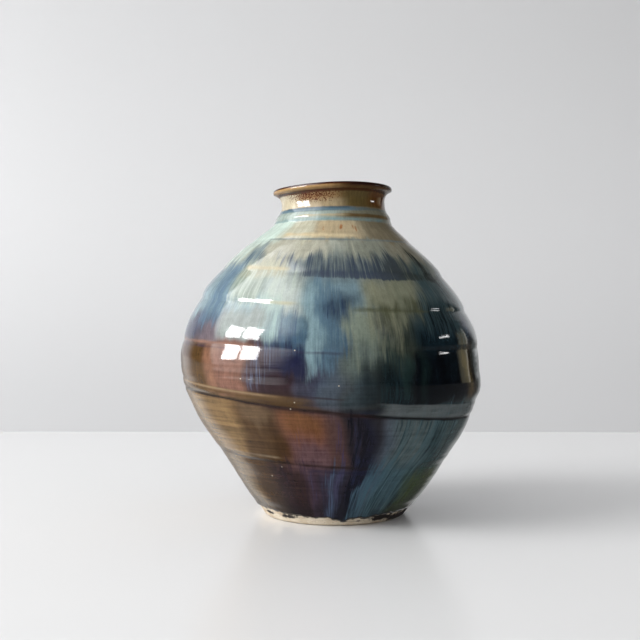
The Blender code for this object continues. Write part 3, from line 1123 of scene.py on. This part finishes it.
def foot_ring(clay, angle):
    rows = np.linspace(FOOT_BOTTOM + 1.2, FOOT_HEIGHT, 6)
    foot = [(FLOOR_RADII[-1], FOOT_HEIGHT), (41.0, 0.9), (41.8, 0.0), (49.0, 0.0), (50.3, 0.25), (51.2, 0.7)]
    ring = foot + list(zip(clay_radius(rows), rows))
    clay_piece("foot_ring", clay, angle, [all_round(values, CLAY_COLUMNS) for values in zip(*ring)])


def lower_body(clay, angle, outside, inside):
    """The floor, the bare wall from the foot to the glaze's edge, and the wall up to the seam."""
    floor = all_round(FLOOR_RADII, CLAY_COLUMNS)
    level = np.full(floor.shape, FOOT_HEIGHT + ABOVE_FOOT)
    edge = glaze_edge(angle) + GLAZE
    bare_height = FOOT_HEIGHT + ABOVE_FOOT + (edge - FOOT_HEIGHT) * np.array(BARE_ROWS)[:, None]
    seam_row = rows_up_to(SEAM_GROOVE)
    wall_rows = [*range(CLAY_STEP, seam_row, CLAY_STEP), seam_row]
    clay_piece(
        "lower_body",
        clay,
        angle,
        (floor, level),
        (clay_radius(bare_height), bare_height),
        [values[wall_rows] for values in outside],
        between_heights(inside, -1.0, leaning(SEAM_GROOVE, angle).min() - 1.0),
        closed=False,
    )


def upper_sections(clay, angle, outside, inside):
    """The upper body and the collar, each from the join below it."""
    seam_row, neck_row = rows_up_to(SEAM_GROOVE), rows_up_to(NECK_FOOT)
    for node, first, last, low, high in (
        ("upper_body", seam_row, neck_row, leaning(SEAM_GROOVE, angle).max() + 1.0, 212.0),
        ("neck_collar", neck_row, len(outside[0]) - 1, 214.0, 260.0),
    ):
        rows = [first] + [row for row in range(0, last, CLAY_STEP) if first + 1 < row < last - 1] + [last]
        radius, height = (values[rows] for values in outside)
        height[0] += CLEARANCE
        clay_piece(node, clay, angle, (radius, height), between_heights(inside, low, high))


def clay_pieces():
    angle = angles(CLAY_COLUMNS)
    clay = clay_material()
    outside, inside = clay_faces(angle)
    foot_ring(clay, angle)
    lower_body(clay, angle, outside, inside)
    upper_sections(clay, angle, outside, inside)


# ---- Table, backdrop, light and camera ----


def slab(name, low, high, surface):
    """A plain box of the stage. The gloss doesn't see it: the room has a table and a wall for it."""
    corners = [(x, y, z) for x in (low[0], high[0]) for y in (low[1], high[1]) for z in (low[2], high[2])]
    faces = [(0, 1, 3, 2), (4, 6, 7, 5), (0, 4, 5, 1), (2, 3, 7, 6), (0, 2, 6, 4), (1, 5, 7, 3)]
    mesh = bpy.data.meshes.new(name)
    mesh.from_pydata(corners, [], faces)
    mesh.materials.append(surface)
    made = new_object(name, mesh)
    made.visible_glossy = False
    return made


def stage():
    n = Nodes(bpy.data.materials.new("table_white"))
    n.shader.inputs["Specular IOR Level"].default_value = 0.32
    table = slab("table", (-2.0, -1.6, -0.03), (2.0, 0.513, 0.0), n.surface(flat(0.77), 0.22))
    table.rotation_euler = (0.0, 0.0, math.radians(-0.6))
    n = Nodes(bpy.data.materials.new("backdrop_grey"))
    # a shade darker towards the window and the top, where more light falls on it
    across, _, up = n.parts(n.position())
    grey = n.mix(n.step(across, -0.5, 0.5), (0.625, 0.627, 0.635, 1.0), (0.685, 0.687, 0.695, 1.0))
    grey = n.shade(grey, n.step(up, 0.15, 0.80, 1.0, 0.80))
    slab("backdrop", (-1.1, 1.0, -0.8), (1.3, 1.02, 2.2), n.surface(grey, 0.9))


def area_light(name, azimuth, elevation, distance, size, radiance, seen_in_gloss):
    """A rectangular light that faces the vase. It either lights the scene or only shows in the gloss."""
    light = bpy.data.lights.new(name, "AREA")
    light.shape = "RECTANGLE"
    light.size, light.size_y = size
    light.energy = radiance * size[0] * size[1] * math.pi
    made = new_object(name, light)
    turn, tilt = math.radians(azimuth), math.radians(elevation)
    made.location = (
        distance * math.sin(turn) * math.cos(tilt),
        -distance * math.cos(turn) * math.cos(tilt),
        0.12 + distance * math.sin(tilt),
    )
    made.rotation_euler = (math.radians(90.0) - tilt, 0.0, turn)
    made.visible_camera = False
    made.visible_glossy = seen_in_gloss
    made.visible_diffuse = not seen_in_gloss


def flat(value):
    return (value, value, value, 1.0)


def room():
    """Soft grey light all round. The gloss sees a dark room with a lit wall at the left, a pale one behind,
    a curtain with a bright edge at the right, and the table."""
    world = bpy.data.worlds.new("room")
    bpy.context.scene.world = world
    n = Nodes(world, "Background")
    right, back, up = n.parts(n.new("ShaderNodeTexCoord", {}).outputs["Generated"])
    degrees = 180.0 / math.pi
    around = n.times(n.math("ARCTAN2", right, n.times(back, -1.0)), degrees)
    rise = n.times(n.math("ARCSINE", up), degrees)
    aside = n.math("ABSOLUTE", around)

    gloss = n.mix(n.step(rise, 35.0, 80.0), (0.02, 0.02, 0.021, 1.0), (0.08, 0.08, 0.085, 1.0))
    behind_right = n.step(n.plus(around, n.times(rise, 0.7)), 140.0, 154.0)
    behind = n.times(n.plus(n.step(around, -126.0, -142.0), behind_right), n.step(rise, 34.0, 6.0))
    gloss = n.mix(behind, gloss, (0.72, 0.725, 0.74, 1.0))
    low = n.step(rise, 18.0, 10.0)
    glint = n.times(n.between(around, 126.5, 127.5, 128.8, 129.8), low)
    gloss = n.mix(glint, gloss, (1.4, 1.35, 1.2, 1.0))
    curtain = n.times(n.between(around, 112.0, 116.0, 125.0, 130.0), low)
    gloss = n.mix(curtain, gloss, (0.42, 0.38, 0.26, 1.0))
    slope = n.minus(back, n.times(up, 0.41))
    wall_end = n.minus(right, n.times(up, 0.3))
    lit_wall = n.times(n.step(slope, 0.17, 0.11), n.step(wall_end, -0.46, -0.72), n.step(up, 0.97, 0.90))
    bright = n.mix(n.step(rise, 2.0, 38.0), (1.5, 1.52, 1.55, 1.0), (3.8, 3.85, 3.9, 1.0))
    gloss = n.mix(lit_wall, gloss, bright)
    table = n.mix(n.step(around, 30.0, -80.0), flat(0.10), flat(0.36))
    table = n.mix(n.step(around, -124.0, -140.0), table, (1.0, 1.0, 0.98, 1.0))
    table = n.mix(n.step(aside, 146.0, 158.0), table, flat(0.45))
    table = n.mix(n.step(rise, -48.0, -66.0), table, flat(0.10))
    gloss = n.mix(n.step(rise, 0.5, -1.5), gloss, table)

    path = n.new("ShaderNodeLightPath", {}).outputs
    light = n.mix(path["Is Glossy Ray"], (0.445, 0.445, 0.448, 1.0), gloss)
    light = n.mix(path["Is Camera Ray"], light, (0.66, 0.665, 0.68, 1.0))
    n.put(light, n.shader.inputs["Color"])


def lights():
    for azimuth, elevation, tall in ((-79.5, 16.2, 0.95), (-62.5, 18.0, 1.12)):
        area_light("window_pane", azimuth, elevation, 2.3, (0.59, tall), 22.0, True)
        area_light("window_light", azimuth, 27.0, 2.3, (0.63, 1.36), 10.1, False)
    area_light("lit_wall", -60.0, 30.0, 2.7, (3.7, 4.0), 0.9, False)
    area_light("far_window", 96.0, 14.0, 2.3, (0.44, 0.07), 12.0, True)


def camera():
    lens = bpy.data.cameras.new("camera")
    lens.sensor_width = 36.0
    lens.lens = 56.25
    made = new_object("camera", lens)
    made.location = (-0.0108, -0.746, 0.146)
    made.rotation_euler = (math.radians(89.77), 0.0, 0.0)
    bpy.context.scene.camera = made


outer_coat()
liner()
clay_pieces()
stage()
room()
lights()
camera()
bpy.context.scene.view_settings.view_transform = "Standard"
